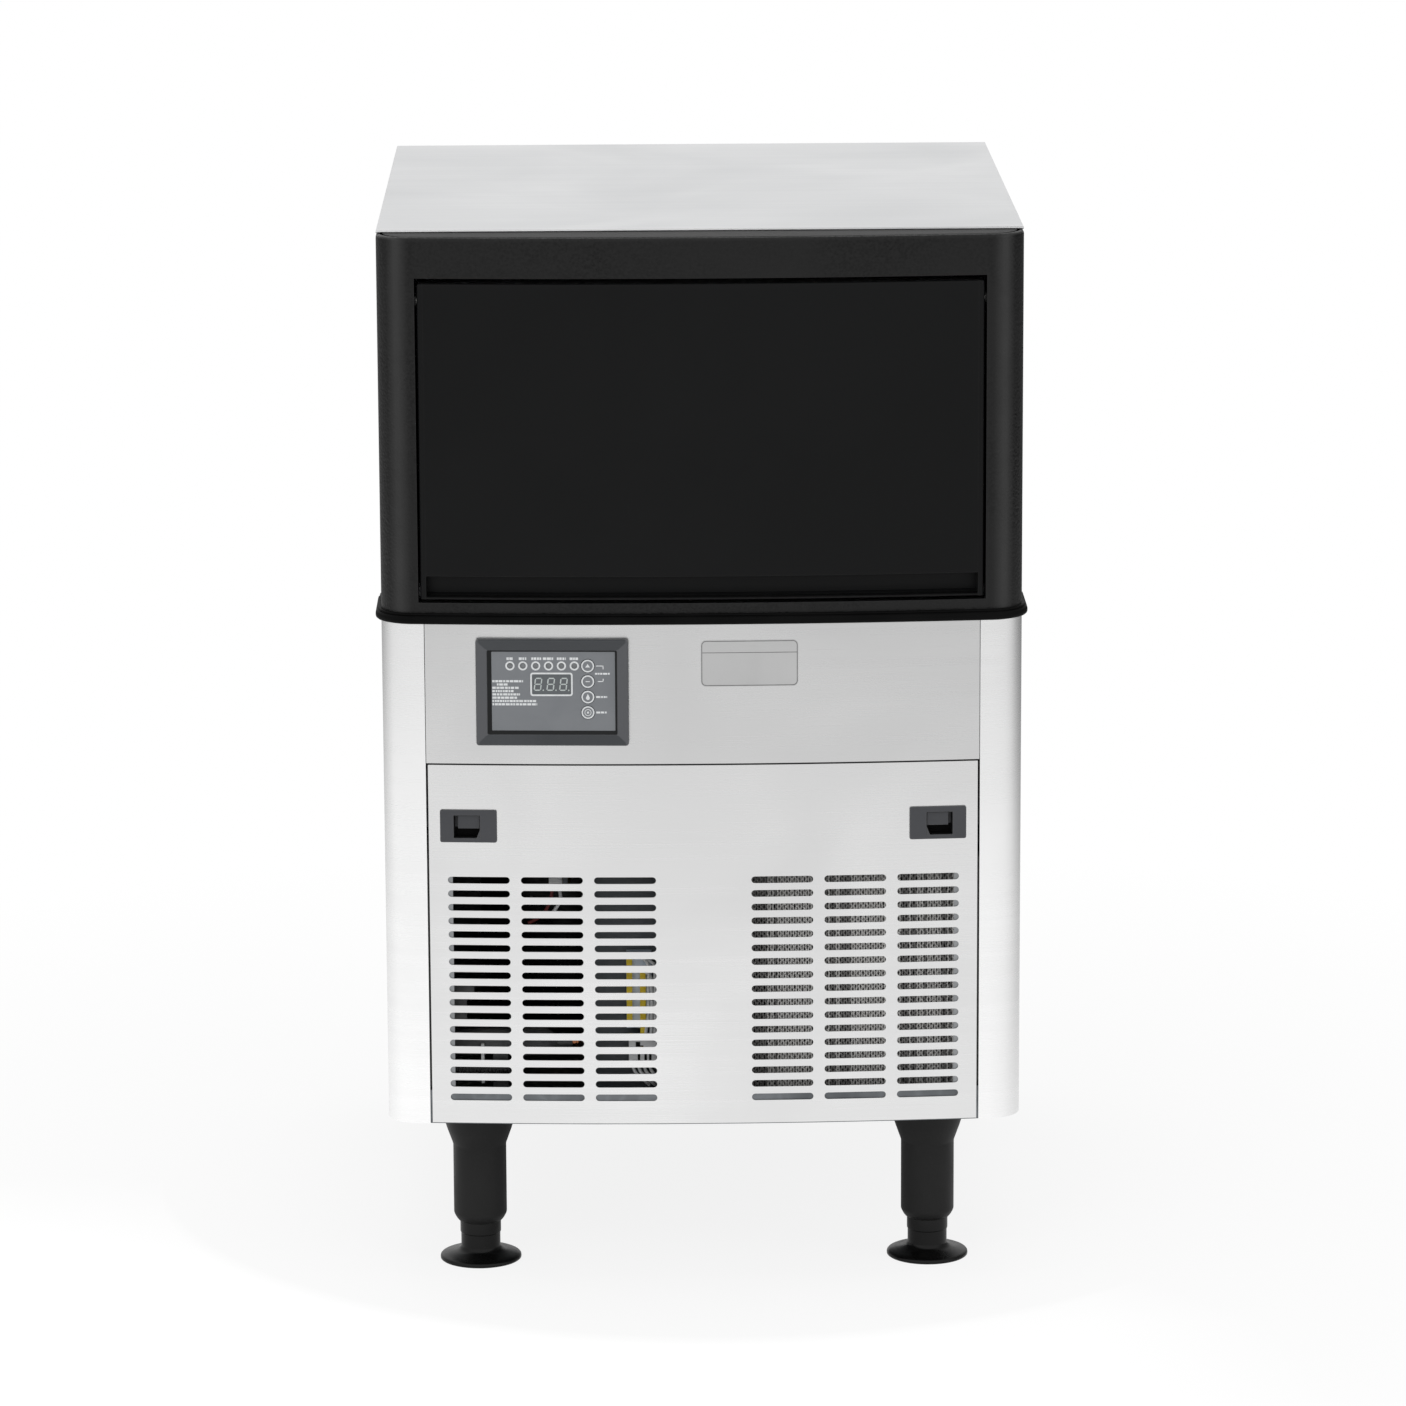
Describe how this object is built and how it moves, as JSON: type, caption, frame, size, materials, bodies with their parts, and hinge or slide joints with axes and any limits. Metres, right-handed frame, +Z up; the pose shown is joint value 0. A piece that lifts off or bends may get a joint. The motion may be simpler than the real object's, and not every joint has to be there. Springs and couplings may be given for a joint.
{
  "type": "undercounter ice maker",
  "caption": "Free-standing undercounter ice maker: steel cabinet with a bowed front, black top-hung bin door, control panel, slotted service panel and adjustable legs.",
  "frame": {"origin": "centre of the bounding box in plan, on the floor under the feet", "axes": "+Z up, the door and control panel face -Y, +X is to the right seen from the front"},
  "size_m": [0.509, 0.582, 0.836],
  "materials": {
    "brushed_steel": "satin",
    "top_steel": "satin",
    "galvanised": "satin",
    "fascia_plastic": "matte",
    "bead_plastic": "gloss",
    "door_plastic": "satin",
    "leg_plastic": "satin",
    "foot_plastic": "gloss",
    "bezel_plastic": "satin",
    "membrane": "satin",
    "latch_plastic": "satin",
    "thumb_plastic": "satin",
    "display_window": "gloss",
    "lamp_plastic": "satin",
    "circuit_board": "satin",
    "label_foil": "satin",
    "foam": "matte",
    "liner_plastic": "satin",
    "nickel": "satin",
    "white_plastic": "satin",
    "clear_plastic": "gloss",
    "copper": "satin",
    "fins": "satin",
    "black_paint": "satin",
    "grey_paint": "satin",
    "fan_plastic": "satin",
    "yellow_plastic": "satin"
  },
  "bodies": {
    "cabinet": {"top_panel": "top_steel", "side_panel_left": "brushed_steel", "side_panel_right": "brushed_steel", "rear_panel": "galvanised", "base_pan": "galvanised", "fascia_frame": "fascia_plastic", "trim_bead": "bead_plastic", "door_pin_left": "nickel", "door_pin_right": "nickel", "control_strip": "brushed_steel", "label_plate": "label_foil", "service_panel": "brushed_steel", "control_bezel": "bezel_plastic", "control_membrane": "membrane", "display_window": "display_window", "indicator_lights": "lamp_plastic", "control_board": "circuit_board", "latch_housing_left": "latch_plastic", "latch_housing_right": "latch_plastic", "foam_body": "foam", "bin_liner": "liner_plastic", "evaporator": "nickel", "spray_tube": "white_plastic", "water_trough": "white_plastic", "water_pump": "white_plastic", "float_valve": "white_plastic", "condenser": "fins", "fan_shroud": "galvanised", "fan_motor": "black_paint", "compressor": "black_paint", "discharge_pipe": "copper", "suction_pipe": "copper", "liquid_pipe": "copper", "filter_drier": "copper", "hot_gas_valve": "white_plastic", "electrical_box": "grey_paint", "terminal_block": "yellow_plastic", "water_inlet_valve": "white_plastic", "drain_fitting": "white_plastic", "drain_pipe": "white_plastic", "cord_gland": "fan_plastic", "leg_front_left": "leg_plastic", "leg_front_right": "leg_plastic", "leg_rear_left": "leg_plastic", "leg_rear_right": "leg_plastic"},
    "door": {"door_shell": "door_plastic", "door_inner_panel": "liner_plastic"},
    "latch_left": {"latch_slider_left": "thumb_plastic"},
    "latch_right": {"latch_slider_right": "thumb_plastic"},
    "up_key": {"key_up": "membrane"},
    "down_key": {"key_down": "membrane"},
    "clean_key": {"key_clean": "membrane"},
    "select_key": {"key_select": "membrane"},
    "front_left_foot": {"foot_front_left": "foot_plastic"},
    "front_right_foot": {"foot_front_right": "foot_plastic"},
    "rear_left_foot": {"foot_rear_left": "foot_plastic"},
    "rear_right_foot": {"foot_rear_right": "foot_plastic"},
    "fan": {"fan_blade": "fan_plastic"},
    "curtain": {"water_curtain": "clear_plastic"},
    "float": {"float_arm": "white_plastic"}
  },
  "joints": [
    {"name": "door_hinge", "type": "hinge", "parent": "cabinet", "child": "door", "pos_m": [0, -0.26734, 0.7845], "axis": [-1, 0, 0], "range_deg": [0, 85]},
    {"name": "latch_left_slide", "type": "slide", "parent": "cabinet", "child": "latch_left", "axis": [0.9975, -0.071, 0], "range_m": [0, 0.007], "stiffness_N_per_m": 200},
    {"name": "latch_right_slide", "type": "slide", "parent": "cabinet", "child": "latch_right", "axis": [-0.9975, -0.071, 0], "range_m": [0, 0.007], "stiffness_N_per_m": 200},
    {"name": "key_up_press", "type": "slide", "parent": "cabinet", "child": "up_key", "axis": [0.0469, 0.9989, 0], "range_m": [0, 0.0005], "stiffness_N_per_m": 800},
    {"name": "key_down_press", "type": "slide", "parent": "cabinet", "child": "down_key", "axis": [0.0469, 0.9989, 0], "range_m": [0, 0.0005], "stiffness_N_per_m": 800},
    {"name": "key_clean_press", "type": "slide", "parent": "cabinet", "child": "clean_key", "axis": [0.0469, 0.9989, 0], "range_m": [0, 0.0005], "stiffness_N_per_m": 800},
    {"name": "key_select_press", "type": "slide", "parent": "cabinet", "child": "select_key", "axis": [0.0469, 0.9989, 0], "range_m": [0, 0.0005], "stiffness_N_per_m": 800},
    {"name": "foot_front_left_screw", "type": "slide", "parent": "cabinet", "child": "front_left_foot", "axis": [0, 0, -1], "range_m": [0, 0.025]},
    {"name": "foot_front_right_screw", "type": "slide", "parent": "cabinet", "child": "front_right_foot", "axis": [0, 0, -1], "range_m": [0, 0.025]},
    {"name": "foot_rear_left_screw", "type": "slide", "parent": "cabinet", "child": "rear_left_foot", "axis": [0, 0, -1], "range_m": [0, 0.025]},
    {"name": "foot_rear_right_screw", "type": "slide", "parent": "cabinet", "child": "rear_right_foot", "axis": [0, 0, -1], "range_m": [0, 0.025]},
    {"name": "fan_spin", "type": "hinge", "parent": "cabinet", "child": "fan", "pos_m": [0.117, -0.18695, 0.2382], "axis": [0, 1, 0], "continuous": true},
    {"name": "curtain_hinge", "type": "hinge", "parent": "cabinet", "child": "curtain", "pos_m": [0, 0.17515, 0.7804], "axis": [-1, 0, 0], "range_deg": [0, 40]},
    {"name": "float_hinge", "type": "hinge", "parent": "cabinet", "child": "float", "pos_m": [-0.1886, 0.21085, 0.6174], "axis": [-1, 0, 0], "range_deg": [0, 10]}
  ]
}
